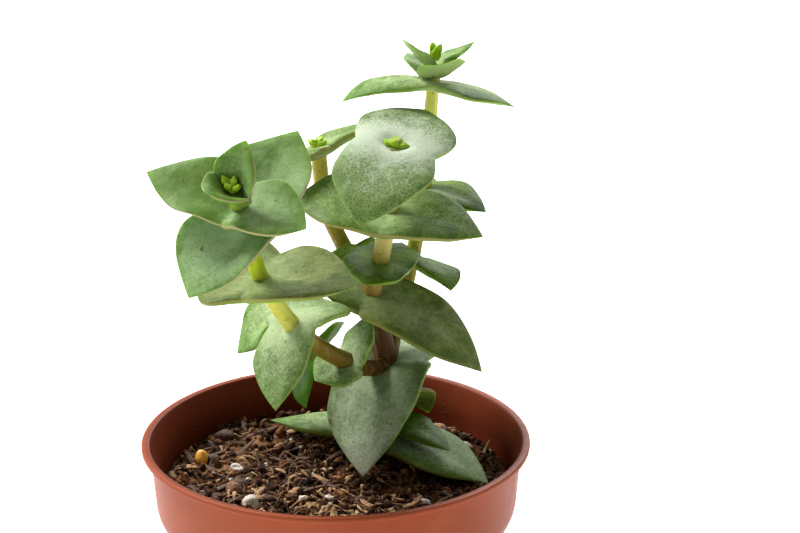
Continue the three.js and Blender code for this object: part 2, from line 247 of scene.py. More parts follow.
# Each corner has its radius, its height, and how far its rounding reaches along the wall.
pot_outside = [
    (0.5, 0, 0),
    (12, 0, 0.5),
    (BASE_RADIUS - 1.6, 0, 0.5),
    (BASE_RADIUS, 0.2, 0.6),
    (BODY_RADIUS, BAND_FOOT - 1.5, 1.1),
    (BAND_RADIUS - 0.75, BAND_FOOT + 1.1, 1.3),
    (BAND_RADIUS, POT_HEIGHT - 0.95, 0.2),
    (RIM_RADIUS, POT_HEIGHT - LIP_EDGE, 0.28),
    (RIM_RADIUS, POT_HEIGHT, 0.3),
]
pot_inside = [
    (MOUTH_RADIUS + LIP_FLARE, POT_HEIGHT, 0.25),
    (MOUTH_RADIUS + 0.75, POT_HEIGHT - 0.9, 0.5),
    (MOUTH_RADIUS - 0.18, POT_HEIGHT - 3.8, 1.5),
    (MOUTH_RADIUS - 0.75, BAND_FOOT + 1.2, 0.9),
    (BODY_RADIUS - WALL, BAND_FOOT - 0.8, 0.9),
    (BASE_RADIUS - WALL - 0.6, FLOOR, 0.9),
    (0.5, FLOOR, 0),
]
pot_line = rounded(pot_outside + pot_inside)
inner_line = rounded(pot_inside)

pot_turn = full_turn(POT_SIDES)
# A thin moulding is never quite round: the rim is a little oval and wavy.
waver = OUT_OF_ROUND * np.cos(2 * pot_turn + 0.6) + WAVINESS * np.cos(5 * pot_turn + 2.0)
pot_rings = [level_ring(radius + waver * (z / POT_HEIGHT) ** 2, z, pot_turn) for radius, z in pot_line]
pot_points, pot_faces = skin(np.array(pot_rings), (0, 0, 0), (0, 0, FLOOR))
inner_rows = np.arange(len(pot_line)) >= len(pot_line) - len(inner_line)
inner_mark = np.append(np.repeat(inner_rows.astype(float), POT_SIDES), [0, 1])

# Moulded plastic: an even colour with faint flow marks, a trace of dried salts and fine scuffs.
# Its inside is darker with painted shade, darker still low by the soil, where crumbs of peat cling.
# Below the first of these heights the inside wall is at its darkest, and above the second it isn't
# darkened.
DARKEST_BELOW = 46.5
UNDARKENED_ABOVE = 50.5
pot_plastic, place = start_material("pot_plastic")
inside = place.mark("inside")
height = place.node("ShaderNodeSeparateXYZ", {}, {"Vector": place}, "Z")
flow = place.grain(14.0, 3.0, 0.6)
scuffs = place.grain(0.5, 4.0)
salts = place.grain(2.4, 5.0, 0.4).between(0.52, 0.72)
near_soil = (1.0 - height.between(DARKEST_BELOW * MM, UNDARKENED_ABOVE * MM)) * inside
crumbs_left = place.grain(0.9, 3.0).between(0.67, 0.73) * near_soil
terracotta = flow.between(0.3, 0.7).blend(colour(145, 67, 37), colour(155, 76, 45))
salted = (salts * 0.04).blend(terracotta, colour(214, 156, 130))
# Painted shade over the whole inside wall.
painted_inside_shade = (inside * 0.65).blend(salted, colour(92, 32, 10))
darker_near_soil = (near_soil * 0.5).blend(painted_inside_shade, colour(84, 28, 14))
soiled = crumbs_left.blend(darker_near_soil, colour(64, 34, 22))
finish_material(
    place,
    {
        "Base Color": soiled,
        "Roughness": 0.38 + scuffs * 0.14 + salts * 0.1,
        "Subsurface Weight": 0.06,
        "Subsurface Radius": (1.0, 0.35, 0.2),
        "Subsurface Scale": 0.001,
        "Specular IOR Level": 0.1,
    },
    flow + scuffs * 0.12 + crumbs_left * 1.2,
    0.12,
)

pot = make_piece("pot_cup", pot_points, pot_faces, pot_plastic, {"inside": inner_mark})

DRAIN_HOLES = 6
DRAIN_RADIUS = 2.4
DRAIN_CIRCLE = 13.0
DRAIN_SIDES = 36
DRILL_REACH = 2
drills = Bundle()
for i in range(DRAIN_HOLES):
    angle = 2 * math.pi * (i + 0.5) / DRAIN_HOLES
    centre = (DRAIN_CIRCLE * math.cos(angle), DRAIN_CIRCLE * math.sin(angle), 0)
    foot, head = (
        level_ring(DRAIN_RADIUS, z, full_turn(DRAIN_SIDES)) + centre
        for z in (-DRILL_REACH, FLOOR + DRILL_REACH)
    )
    drills.add(*skin(np.array([foot, head]), foot.mean(0), head.mean(0)))
drill = drills.piece("drill", pot_plastic)
cut = pot.modifiers.new("drain_holes", "BOOLEAN")
cut.operation = "DIFFERENCE"
cut.object = drill
cut.solver = "EXACT"
drilled = pot.evaluated_get(bpy.context.evaluated_depsgraph_get())
pot_mesh = bpy.data.meshes.new_from_object(drilled)
pot.modifiers.clear()
pot.data = pot_mesh
pot.data.set_sharp_from_angle(angle=math.radians(40))
bpy.data.objects.remove(drill)
set_in_place(pot, "pot_plastic", "pot")

# The soil bed
# Dark moist peat pressed round the roots. It is heaped behind the stem, sinks along the wall,
# and its top is all lumps and hollows of the crumbs that it is made of.

SOIL_LEVEL = 46.2
GAP = 0.3
LUMPS = 60
SINK_UNDER_CRUMBS = 0.5
SINK_AT_WALL = 1.1
SOIL_SIDES = 480
SOIL_RINGS = 112
DRAW_STEP = 16807
DRAW_LIMIT = 2147483647


def seeded(seed):
    """The same endless row of numbers between 0 and 1 on every run."""
    state = seed
    while True:
        state = state * DRAW_STEP % DRAW_LIMIT
        yield state / DRAW_LIMIT


def scattered(draw, farthest):
    angle = 2 * math.pi * next(draw)
    reach = farthest * math.sqrt(next(draw))
    return reach * math.cos(angle), reach * math.sin(angle)


# Each lump has its place, how far it spreads, and its rise. The first is the heap.
lump_draw = seeded(71)
lumps = [(4.0, 9.0, 13.4, 0.9)]
for i in range(LUMPS):
    x, y = scattered(lump_draw, 26)
    spread = 1.8 + 1.6 * next(lump_draw)
    lumps.append((x, y, spread, 0.9 * (next(lump_draw) - 0.35)))

NOISE_SIDE = 128
NOISE_CORNER = 500
noise_tables = np.random.default_rng(5).random((3, NOISE_SIDE, NOISE_SIDE))


def rough(x, y, size, table):
    """Smooth noise over the ground, from 0 to 1, with hollows this many mm apart."""
    u = np.asarray(x) / size + NOISE_CORNER
    v = np.asarray(y) / size + NOISE_CORNER
    column = np.floor(u).astype(int)
    line = np.floor(v).astype(int)
    across = (u - column) ** 2 * (3 - 2 * (u - column))
    up = (v - line) ** 2 * (3 - 2 * (v - line))
    near, far = (
        noise_tables[table, row % NOISE_SIDE, column % NOISE_SIDE] * (1 - across)
        + noise_tables[table, row % NOISE_SIDE, (column + 1) % NOISE_SIDE] * across
        for row in (line, line + 1)
    )
    return near * (1 - up) + far * up


def soil_height(x, y):
    """The top of the peat: the heap and lumps of the solid, broken up into crumbs."""
    x = np.asarray(x, dtype=float)
    y = np.asarray(y, dtype=float)
    edge = np.hypot(x, y) / MOUTH_RADIUS
    z = SOIL_LEVEL - SINK_UNDER_CRUMBS - SINK_AT_WALL * edge ** 8
    for lump_x, lump_y, spread, rise in lumps:
        z = z + rise * np.exp(-((x - lump_x) ** 2 + (y - lump_y) ** 2) / spread ** 2)
    ridged = 1 - abs(2 * rough(x, y, 2.3, 1) - 1)
    fine = 1 - abs(2 * rough(x, y, 1.1, 2) - 1)
    return z + 0.9 * (rough(x, y, 4.1, 0) - 0.5) + 0.8 * (ridged - 0.6) + 0.45 * (fine - 0.5)


def wall_radius(z):
    """The radius of the pot's inner wall at a height."""
    return float(np.interp(z, inner_line[::-1, 1], inner_line[::-1, 0]))


soil_turn = full_turn(SOIL_SIDES)
shoulder = SOIL_LEVEL - 2.0
side_heights = [FLOOR + 0.05, FLOOR + 1.0, 12.0, 26.0, BAND_FOOT - 0.8, BAND_FOOT + 1.4, shoulder]
soil_rings = [level_ring(wall_radius(z) - GAP, z + GAP, soil_turn) for z in side_heights]
soil_edge = wall_radius(shoulder) - GAP
for radius in np.linspace(soil_edge, 0.2, SOIL_RINGS):
    ring = level_ring(radius, 0, soil_turn)
    ring[:, 2] = soil_height(ring[:, 0], ring[:, 1])
    soil_rings.append(ring)
bed_points, bed_faces = skin(
    np.array(soil_rings), (0, 0, FLOOR + GAP), (0, 0, float(soil_height(0, 0)))
)

DRY_SPOT = (-17, 6, 45)
DRY_CORE = 3.0
DRY_REACH = 14.0


def dry_patch(place):
    """1 on the crumbly patch at the left, where the peat has dried, and 0 away from it."""
    spot = [value * MM for value in DRY_SPOT]
    inputs = {"Vector": place, "Vector_001": spot}
    away = place.node("ShaderNodeVectorMath", {"operation": "DISTANCE"}, inputs, "Value")
    return 1.0 - away.between(DRY_CORE * MM, DRY_REACH * MM)


# Moist peat: dark brown on the crumbs, nearly black in the hollows with painted shade, lighter where
# it has dried, with reddish and tan specks of fibre ground into it and hardly any gloss.
peat, place = start_material("peat")
clods = place.grain(2.2, 6.0, 0.5)
specks = place.grain(0.45, 4.0)
threads = place.grain(0.9, 5.0, 2.2)
# The hollows between clods are nearly black with painted shade.
moist_and_hollow_shade = clods.between(0.40, 0.68).blend(colour(10, 6, 3), colour(92, 56, 33))
crumbly_and_hollow_shade = clods.between(0.36, 0.64).blend(colour(26, 16, 9), colour(136, 98, 68))
humus = dry_patch(place).blend(moist_and_hollow_shade, crumbly_and_hollow_shade)
reddish = specks.between(0.56, 0.70).blend(humus, colour(122, 88, 64))
flecked = (threads.between(0.60, 0.66) * 0.8).blend(reddish, colour(158, 128, 96))
finish_material(
    place,
    {"Base Color": flecked, "Roughness": 0.82 + specks * 0.16, "Specular IOR Level": 0.1},
    clods + specks * 0.5 + threads * 0.4,
    0.5,
)
bed = make_piece("soil_bed", bed_points, bed_faces, peat)
set_in_place(bed, "soil", "soil")

# The crumbs
# Loose bits of the same peat, crumbled off as the pot was filled. They lie all over the bed,
# most of them dark, some lighter brown, and the lightest on the dry patch.

CRUMBS = 1500
BUMPS = 5
ONCE_ROUND = 6.28


def pebble_shape(rings, sides):
    """A round grain of unit size as rings from its foot to its top, with its two poles."""
    tilt = np.linspace(-math.pi / 2, math.pi / 2, rings + 2)[1:-1]
    grid = [level_ring(np.cos(t), math.sin(t), full_turn(sides)) for t in tilt]
    return skin(np.array(grid), (0, 0, -1.0), (0, 0, 1.0))


def knobbly(shape, draw, roughness, waves):
    """The shape with a few soft bumps, different for every grain."""
    swell = np.ones(len(shape))
    for i in range(BUMPS):
        direction = draw.normal(size=3) * waves
        swell += roughness * np.sin(shape @ direction + draw.uniform(0, ONCE_ROUND)) / 2
    return shape * swell[:, None]


def turned_about(points, draw):
    """The points turned to face any way."""
    matrix = np.linalg.qr(draw.normal(size=(3, 3)))[0]
    if np.linalg.det(matrix) < 0:
        matrix[:, 0] *= -1
    return points @ matrix.T


def clear_of_wall(x, y, room):
    return math.hypot(x, y) + room < soil_edge


def on_soil(x, y, lift):
    """The place that is this many mm above the top of the peat."""
    return x, y, float(soil_height(x, y)) + lift


crumb_shape, crumb_faces = pebble_shape(5, 9)
crumb_draw = np.random.default_rng(11)
crumbs = Bundle()
while len(crumbs.points) < CRUMBS:
    x, y = crumb_draw.uniform(-27, 27, 2)
    size = 0.24 + 0.72 * crumb_draw.random() ** 3
    if not clear_of_wall(x, y, size):
        continue
    form = knobbly(crumb_shape, crumb_draw, roughness=0.28, waves=2.2)
    form = turned_about(form * (1, crumb_draw.uniform(0.6, 1), 0.7) * size, crumb_draw)
    crumbs.add(form + on_soil(x, y, 0.25 * size), crumb_faces, tone=crumb_draw.random())

crumb_peat, place = start_material("crumb_peat")
tone = place.mark("tone")
specks = place.grain(0.5, 4.0)
lightness = (tone.between(0.62, 0.9) + dry_patch(place) * 0.4).between(0.0, 1.0)
speckled = specks.between(0.4, 0.66)
dark = speckled.blend(colour(24, 13, 7), colour(76, 46, 28))
brown = speckled.blend(colour(94, 56, 31), colour(156, 110, 70))
finish_material(
    place,
    {"Base Color": lightness.blend(dark, brown), "Roughness": 0.88, "Specular IOR Level": 0.1},
    specks,
    0.2,
)
set_in_place(crumbs.piece("soil_crumbs", crumb_peat), "soil")

# The larger grains
# Lumps of bark and perlite a millimetre or two across, mixed into the peat. They lie where the
# solid soil has its own, and every fifth of them is perlite.

LARGE_GRAINS = 34
PERLITE_EVERY = 5
LEAF_STRIP = 11.0
STRIP_END = -15


def laid(form, heading, tip):
    """The form with one end tipped up by an angle and then turned to its heading."""
    lean = [[math.cos(tip), 0, math.sin(tip)], [0, 1, 0], [-math.sin(tip), 0, math.cos(tip)]]
    spin = [
        [math.cos(heading), math.sin(heading), 0],
        [-math.sin(heading), math.cos(heading), 0],
        [0, 0, 1],
    ]
    return form @ np.array(lean) @ np.array(spin)


# None lies on the strip of ground under the blades of the lowest leaf pair.
grain_draw = seeded(23)
grains = []
while len(grains) < LARGE_GRAINS:
    x, y = scattered(grain_draw, 25)
    size = 0.8 + 0.8 * next(grain_draw)
    heading = 6 * next(grain_draw)
    if x <= STRIP_END or abs(y - 4 + 0.35 * x) >= LEAF_STRIP:
        grains.append((x, y, size, heading))

grain_shape, grain_faces = pebble_shape(13, 22)
bark = Bundle()
perlite = Bundle()
grain_form_draw = np.random.default_rng(17)
for number, (x, y, size, heading) in enumerate(grains):
    form = knobbly(grain_shape, grain_form_draw, roughness=0.14, waves=2.6)
    form = laid(form * (size, 0.8 * size, 0.7 * size), heading, 0.0)
    heap = bark if number % PERLITE_EVERY else perlite
    heap.add(form + on_soil(x, y, 0.1 * size), grain_faces, tone=grain_form_draw.random())

# The perlite
# White grains of puffed volcanic glass, chalky and pitted, and stained by the peat that they
# lie in. Eight show best at the front, and small ones are strewn all over.

PERLITE_GRAINS = 46
front_perlite = [
    (-4.9, -10.7, 0.7), (-0.7, -10.9, 0.85), (-3.6, -2.7, 0.45), (-11.2, 2.2, 0.36),
    (-13.6, -3.4, 0.42), (-17.7, -6.7, 0.36), (-9.5, -7.5, 0.34), (-2.4, -9.0, 0.5),
]
for x, y, size in front_perlite:
    form = knobbly(grain_shape, grain_form_draw, roughness=0.16, waves=3.0)
    form = form * (size, 0.85 * size, 0.75 * size)
    perlite.add(form + on_soil(x, y, 0.35 * size), grain_faces, tone=1.0)
while len(perlite.points) < PERLITE_GRAINS:
    x, y = grain_form_draw.uniform(-25, 25, 2)
    size = 0.2 + 0.26 * grain_form_draw.random()
    if not clear_of_wall(x, y, size):
        continue
    form = knobbly(grain_shape, grain_form_draw, roughness=0.16, waves=3.0) * size
    perlite.add(form + on_soil(x, y, 0.45 * size), grain_faces, tone=grain_form_draw.random())

perlite_foam, place = start_material("perlite_foam")
pits = place.grain(0.22, 3.0)
stains = place.grain(1.1, 4.0, 0.5)
chalk = pits.between(0.36, 0.52).blend(colour(156, 142, 124), colour(218, 210, 196))
finish_material(
    place,
    {
        "Base Color": (stains.between(0.52, 0.7) * 0.7).blend(chalk, colour(142, 112, 84)),
        "Roughness": 0.8,
        "Subsurface Weight": 0.1,
        "Subsurface Scale": 0.0005,
    },
    pits,
    0.15,
)
set_in_place(perlite.piece("perlite_grains", perlite_foam), "soil")

# The bark chips and husks
# Flat chips of composted bark, dark to resin brown, scattered over the bed. Split grain husks,
# light and curled, lie thickest along the front of the rim.

WITH_CHIPS = 130
WITH_HUSKS = 215
chip_draw = np.random.default_rng(29)
while len(bark.points) < WITH_CHIPS:
    x, y = chip_draw.uniform(-26, 26, 2)
    length = chip_draw.uniform(1.0, 2.6)
    if not clear_of_wall(x, y, length):
        continue
    form = knobbly(crumb_shape, chip_draw, roughness=0.2, waves=2.0)
    form = form * (length, chip_draw.uniform(0.3, 0.7), 0.22)
    heading = chip_draw.uniform(0, ONCE_ROUND)
    tip = chip_draw.uniform(-0.5, 0.5)
    spot = on_soil(x, y, 0.15 + 0.3 * abs(math.sin(tip)) * length)
    bark.add(laid(form, heading, tip) + spot, crumb_faces, tone=chip_draw.random())
while len(bark.points) < WITH_HUSKS:
    x, y = chip_draw.normal((2.0, -17.0), (8.0, 3.6))
    length = chip_draw.uniform(0.9, 1.8)
    if not clear_of_wall(x, y, length):
        continue
    form = crumb_shape * (length, 0.34 * length, 0.16)
    form[:, 2] += 0.3 * length * (form[:, 0] / length) ** 2
    heading = chip_draw.uniform(0, ONCE_ROUND)
    tip = chip_draw.uniform(-0.6, 0.6)
    spot = on_soil(x, y, 0.2 + 0.5 * abs(math.sin(tip)) * length)
    bark.add(laid(form, heading, tip) + spot, crumb_faces, tone=chip_draw.uniform(0.72, 1.0))

bark_chip, place = start_material("bark_chip")
tone = place.mark("tone")
streaks = place.grain(0.5, 5.0, 1.5)
streaked = streaks.between(0.35, 0.65)
dark = streaked.blend(colour(50, 28, 16), colour(98, 62, 38))
light = streaked.blend(colour(132, 92, 58), colour(184, 146, 100))
finish_material(
    place,
    {"Base Color": tone.between(0.5, 0.85).blend(dark, light), "Roughness": 0.8},
    streaks,
    0.2,
)
set_in_place(bark.piece("bark_chips", bark_chip), "soil")

# The feed grain
# One grain of slow-release feed: a soft yellow resin shell, a little taller than it is wide. It
# lies at the left by the wall.

FEED_SPOT = (-21.6, 4.6)
feed_form = knobbly(grain_shape, chip_draw, roughness=0.08, waves=2.0) * (1.05, 1.0, 1.3)
feed_shell, place = start_material("feed_shell")
clouds = place.grain(1.2, 3.0)
finish_material(
    place,
    {
        "Base Color": clouds.between(0.35, 0.65).blend(colour(214, 136, 26), colour(236, 178, 62)),
        "Roughness": 0.45,
        "Subsurface Weight": 0.3,
        "Subsurface Scale": 0.001,
    },
    clouds,
    0.1,
)
feed_piece = make_piece("feed_grain", feed_form + on_soil(*FEED_SPOT, 0.6), grain_faces, feed_shell)
set_in_place(feed_piece, "soil")

# The fibres
# Coir and moss fibres out of the peat, thin and a little flattened. They lie bent across the
# crumbs, thickest at the front and left.

FIBRES = 520
FIBRE_STEPS = 9
FIBRE_SIDES = 5
FIBRE_FLATNESS = 1.5


def ring_about(point, first, second, reach, turn):
    """A ring of points about a centre, in the plane of two directions."""
    return point + first * (reach * np.cos(turn))[:, None] + second * (reach * np.sin(turn))[:, None]


fibre_turn = full_turn(FIBRE_SIDES)
fibre_draw = np.random.default_rng(41)
fibres = Bundle()
while len(fibres.points) < FIBRES:
    x, y = fibre_draw.normal((-7, -9), (12, 11))
    length = fibre_draw.uniform(1.2, 5.0)
    heading = fibre_draw.uniform(0, ONCE_ROUND)
    bend = fibre_draw.normal(0, 0.16)
    arch = abs(fibre_draw.normal(0, 0.5))
    thick = 0.07 + 0.22 * fibre_draw.random() ** 2
    line = []
    for t in np.linspace(0, 1, FIBRE_STEPS):
        line.append(on_soil(x, y, 0.1 + arch * math.sin(math.pi * t)))
        x += length / FIBRE_STEPS * math.cos(heading)
        y += length / FIBRE_STEPS * math.sin(heading)
        heading += bend
    line = np.array(line)
    line[1:-1, 2] = (line[:-2, 2] + line[1:-1, 2] + line[2:, 2]) / 3
    if not all(clear_of_wall(point[0], point[1], GAP) for point in line):
        continue
    way = np.gradient(line, axis=0)
    way /= np.linalg.norm(way, axis=1)[:, None]
    beside = np.cross(way, (0, 0, 1))
    over = np.cross(beside, way)
    taper = thick * (0.35 + 0.65 * np.sin(np.linspace(0.25, 2.9, FIBRE_STEPS)))
    rings = [
        ring_about(point, FIBRE_FLATNESS * side, rise, reach, fibre_turn)
        for point, side, rise, reach in zip(line, beside, over, taper)
    ]
    points, faces = skin(np.array(rings), line[0], line[-1])
    fibres.add(points, faces, tone=fibre_draw.random())

husk, place = start_material("husk")
tone = place.mark("tone")
streaks = place.grain(0.7, 3.0)
streaked = streaks.between(0.3, 0.7)
brown = streaked.blend(colour(54, 30, 15), colour(106, 68, 39))
straw = streaked.blend(colour(156, 116, 80), colour(200, 164, 122))
finish_material(
    place,
    {
        "Base Color": tone.between(0.5, 0.95).blend(brown, straw),
        "Roughness": 0.7,
        "Specular IOR Level": 0.2,
    },
)
set_in_place(fibres.piece("soil_fibres", husk), "soil")

# The stems
# One trunk rises from the soil and four side shoots fork from it. Each is a fleshy round rod,
# brown and woody low down and yellow-green near its tip, a little swollen at each leaf pair.

# A leaf pair's row has its height on the stem, its turn, the lean of its axis, its thickness,
# dish and waist, and then its two leaves, each with the six sizes that LEAF names.
LEAF = ("length", "width", "rise", "droop", "roll", "sweep")
shoots = {}
shoots["centre"] = {
    "foot": 1.7,
    "tip": 1.2,
    "path": [
        (8.6, 6, 36), (8.5, 6, 50), (8.2, 5.5, 58), (7.4, 5, 65.6),
        (5.6, 4, 73.4), (6.7, 4, 78.4), (8.1, 4, 86.7), (9.2, 3, 97.6),
    ],
    "bark": [
        (44, (56, 34, 12)), (60, (70, 42, 14)), (71, (92, 60, 22)),
        (75, (146, 120, 48)), (78, (178, 158, 72)), (86, (208, 196, 118)),
        (92, (190, 196, 110)),
    ],
    "pairs": [
        (49.6, -40, (0, 0), 3.1, 0.06, 0.8, (20, 12, -3, 10, -2, -3), (20.5, 10.5, -1, 3, 0, 32)),
        (53, -46, (0.05, 0), 2, 0.02, 0.8, (13.5, 7, 0, 13, -4, 0), (9, 8, 10, 20, 0, 0)),
        (57, 50, (0, 0.1), 2, 0.1, 0.8, (11.5, 8.5, -12, 58, -10, -2), (7.5, 7, -34, 25, 0, 0)),
        (61.3, -113, (-0.05, 0.2), 2.6, 0.05, 0.94,
         (19.3, 16.4, -31, 47, 12, -7), (17, 12.3, 14, 34, 9, -6)),
        (73.6, -19, (0.09, -0.19), 2.6, 0.02, 0.9,
         (21.5, 13.8, -10, 45, 0, 7), (10.4, 11.8, 11, 17, 12, -13)),
        (78.7, -107, (0.03, 0.02), 2.2, 0.06, 0.98, (8.9, 10, 0, 16, 2, 9), (10.8, 9.9, 5, -5, -7, -1)),
        (86.9, -18, (-0.04, -0.3), 2.6, 0.05, 0.94,
         (15.2, 13.7, 15, 34, -5, 3), (16, 13.9, 12, 47, -7, -3)),
        (97.8, -109, (0, -0.18), 2.5, -0.04, 0.8, (15.2, 15.5, -7, 52, 12, -4), (15, 15.5, 2, 14, 1, 1)),
    ],
    "bud": {"size": 1.0, "turn": -20, "room": 2.1, "rise": 4},
}
shoots["back"] = {
    "foot": 1.3,
    "tip": 1.2,
    "path": [(7.8, 5.5, 61), (3.8, 10, 72.5), (1.5, 14, 77.3), (-1.9, 15.5, 84.7), (-2.9, 16, 93.8)],
    "bark": [
        (62, (96, 66, 24)), (74, (136, 118, 36)), (84, (156, 138, 42)),
        (93, (176, 168, 60)),
    ],
    "pairs": [
        (77.3, 45, (0, 0), 1.8, 0.08, 0.8, (7, 7, 5, 10, 0, 0), (7, 7, 5, 10, 0, 0)),
        (85, -45, (0, 0), 1.8, 0.08, 0.8, (7, 7, 5, 10, 0, 0), (7, 7, 5, 10, 0, 0)),
        (93.6, 50, (-0.2, 0), 2, 0.06, 0.8, (15, 7, 8, 25, 3, 0), (10, 7, 7, 12, 0, 0)),
    ],
    "bud": {"size": 0.85, "turn": -40, "room": 1.7, "rise": 20},
}
shoots["right"] = {
    "foot": 1.4,
    "tip": 1.0,
    "path": [(8, 6, 62), (9, 10, 65.8), (11.7, 17, 74.8), (13.7, 19, 86.2), (15.3, 21, 106)],
    "bark": [
        (64, (110, 80, 36)), (76, (166, 156, 52)), (88, (196, 194, 76)),
        (102, (214, 214, 104)),
    ],
    "pairs": [
        (75.4, -54, (0.18, 0), 2.2, 0.04, 0.8, (12.1, 10.1, 6, 48, 11, 11), (8.2, 8.2, 8, 22, 7, -3)),
        (86.2, -34, (-0.1, -0.15), 2.2, 0.1, 0.8, (12, 9, 4, 24, 4, -2), (12, 10, 8, 20, 0, 0)),
        (103.1, 13, (0.17, 0.07), 1.8, -0.05, 0.8,
         (13.9, 11.2, 8, 24, 8, -12), (15.3, 9.8, -3, 50, -8, -6)),
        (104.5, -52, (0.05, -0.12), 1.1, 0.16, 0.8, (7, 8.6, 36, -8, 4, 0), (7, 7.5, 16, 0, 3, 5)),
        (105.9, 18, (0.03, 0.05), 1.1, 0.13, 0.8, (7.8, 5.2, 38, 2, 0, 0), (7.2, 5.2, 35, 0, 0, 0)),
    ],
    "bud": {"size": 0.85, "turn": -72, "room": 1.5, "rise": 52},
}
shoots["front"] = {
    "foot": 1.4,
    "tip": 1.1,
    "path": [
        (8, 5, 61.8), (3.3, 0, 63.6), (-4.8, -6, 71), (-10, -14, 82.3), (-11.7, -19, 92.1),
        (-12.8, -22.6, 97.6),
    ],
    "bark": [
        (62, (78, 50, 12)), (65, (104, 82, 14)), (69, (122, 104, 22)),
        (73, (184, 182, 78)), (80, (204, 206, 84)), (86, (190, 212, 40)),
        (94, (160, 190, 70)),
    ],
    "pairs": [
        (64.5, 55, (-0.02, -0.08), 2, 0.04, 0.8, (8.2, 6.8, -6, -12, -4, 5), (6.5, 8.9, 49, 0, -9, -3)),
        (73, 72, (-0.24, -0.1), 2.3, 0, 0.82, (12.1, 13, -30, 58, 12, -9), (13.7, 10.4, 12, 27, -1, 13)),
        (82.3, -25, (0.12, 0.32), 2.5, 0.1, 0.8, (15.5, 15.5, 10, 20, -6, 1), (12, 15.5, -1, 8, -8, -12)),
        (92.1, 61, (-0.22, -0.26), 2.2, 0.22, 0.8, (16, 15.5, 12, 20, 3, 0), (13.5, 14.5, 14, 19, 6, -10)),
        (95.3, -33, (-0.04, 0.05), 2, 0.2, 0.8, (13, 10.5, 11, 2, -12, -7), (15.3, 10, 15, 12, -6, 10)),
        (97.7, 48, (-0.16, -0.4), 1.4, 0.24, 0.8, (8.8, 7.4, 52, 8, -3, 8), (6.6, 7.4, 70, 10, 4, -6)),
    ],
    "bud": {"size": 0.8, "turn": -42, "room": 1.5, "rise": 46},
}
shoots["low"] = {
    "foot": 1.3,
    "tip": 1.1,
    "path": [(8, 6, 55), (1.2, 9, 57.7), (-4.5, 12, 61.3), (-8.5, 15, 68.2), (-9.6, 15.5, 71)],
    "bark": [(56, (96, 78, 40)), (62, (122, 140, 56)), (70, (140, 180, 70))],
    "pairs": [
        (61.3, 32, (-0.25, -0.05), 1.8, 0, 0.8, (9, 8, 0, 10, 0, 0), (10.5, 8, -22, 33, -8, -2)),
        (68.2, 10, (-0.1, -0.4), 2, 0.15, 0.8, (12, 10, 0, 20, 0, 0), (11.5, 12, -4, 23, -10, -8)),
    ],
    "bud": {"size": 0.8, "turn": -80, "room": 1.6, "rise": 52},
}


def unit(vector):
    return np.asarray(vector, dtype=float) / np.linalg.norm(vector)


def curve_through(path, steps):
    """A smooth line through the path's points, this many steps from each to the next."""
    given = np.array(path, dtype=float)
    given = np.vstack([2 * given[0] - given[1], given, 2 * given[-1] - given[-2]])
    line = []
    for i in range(1, len(given) - 2):
        before, start, end, beyond = given[i - 1:i + 3]
        for t in np.arange(steps) / steps:
            line.append(
                start
                + (end - before) * t / 2
                + (before - 2.5 * start + 2 * end - beyond / 2) * t ** 2
                + (1.5 * (start - end) + (beyond - before) / 2) * t ** 3
            )
    line.append(given[-2])
    return np.array(line)


def square_to(axis):
    """Two directions square to an axis: the first as near +X as the axis lets it be."""
    first = unit(np.array([1.0, 0, 0]) - axis * axis[0])
    return first, np.cross(axis, first)


def place_on_stem(line, height):
    """The point of a stem at a height, and the way that it runs there."""
    ways = np.gradient(line, axis=0)
    share = np.interp(height, line[:, 2], np.arange(len(line)))
    low = min(int(share), len(line) - 2)
    point = line[low] + (line[low + 1] - line[low]) * (share - low)
    return point, unit(ways[low] + (ways[low + 1] - ways[low]) * (share - low))


STEM_STEPS = 40
STEM_SIDES = 32
SWELLING = 0.10
NARROWING = 0.05
stem_turn = full_turn(STEM_SIDES)
rods = Bundle()
for shoot in shoots.values():
    line = curve_through(shoot["path"], STEM_STEPS)
    shoot["line"] = line
    ways = np.gradient(line, axis=0)
    nodes = [row[0] for row in shoot["pairs"]]
    heights = [height for height, tint in shoot["bark"]]
    tints = np.array([colour(*tint) for height, tint in shoot["bark"]])
    rings = []
    ring_tints = []
    for i, point in enumerate(line):
        share = i / (len(line) - 1)
        radius = shoot["foot"] + (shoot["tip"] - shoot["foot"]) * share
        # It narrows just below each leaf pair.
        for height in nodes:
            radius += SWELLING * math.exp(-((point[2] - height) / 0.9) ** 2)
            radius -= NARROWING * math.exp(-((point[2] - height + 1.6) / 0.5) ** 2)
        ribs = 0.035 * np.cos(6 * stem_turn + 0.6) + 0.02 * np.cos(11 * stem_turn + 7 * share)
        first, second = square_to(unit(ways[i]))
        rings.append(ring_about(point, first, second, radius + ribs, stem_turn))
        tint = [np.interp(point[2], heights, tints[:, channel]) for channel in range(4)]
        ring_tints.append(np.tile(tint, (STEM_SIDES, 1)))
    points, faces = skin(np.array(rings), line[0], line[-1])
    rods.add(points, faces, tint=np.vstack([*ring_tints, tints[0], tints[-1]]))

# Stem skin: each length has its own tint, streaked with pale ribs and fine brown flecks.
ALONG_THE_STEM = (1, 1, 0.16)
stem_skin, place = start_material("stem_skin")
tint = place.mark("tint", "Color")
drawn_out = {"Vector": place, "Vector_001": ALONG_THE_STEM}
long_way = place.node("ShaderNodeVectorMath", {"operation": "MULTIPLY"}, drawn_out, "Vector")
streaks = long_way.grain(0.5, 3.0)
flecks = place.grain(0.35, 3.0)
pale = (streaks.between(0.5, 0.66) * 0.16).blend(tint, colour(206, 192, 124))
flecked = (flecks.between(0.62, 0.7) * 0.5).blend(pale, colour(96, 58, 34))
finish_material(
    place,
    {
        "Base Color": flecked,
        "Roughness": 0.42 + flecks * 0.2,
        "Subsurface Weight": 0.05,
        "Subsurface Radius": (1.0, 0.8, 0.3),
        "Subsurface Scale": 0.0012,
        "Specular IOR Level": 0.2,
    },
    streaks + flecks * 0.4,
    0.12,
)
set_in_place(rods.piece("stems", stem_skin), "stem", "stem")

# The leaf pairs
# Two broad pointed leaves, thick and waxy, that have grown together round the stem. Grey-green
# above with dark speckles under a powdery bloom, paler and yellower below, with a fine margin.

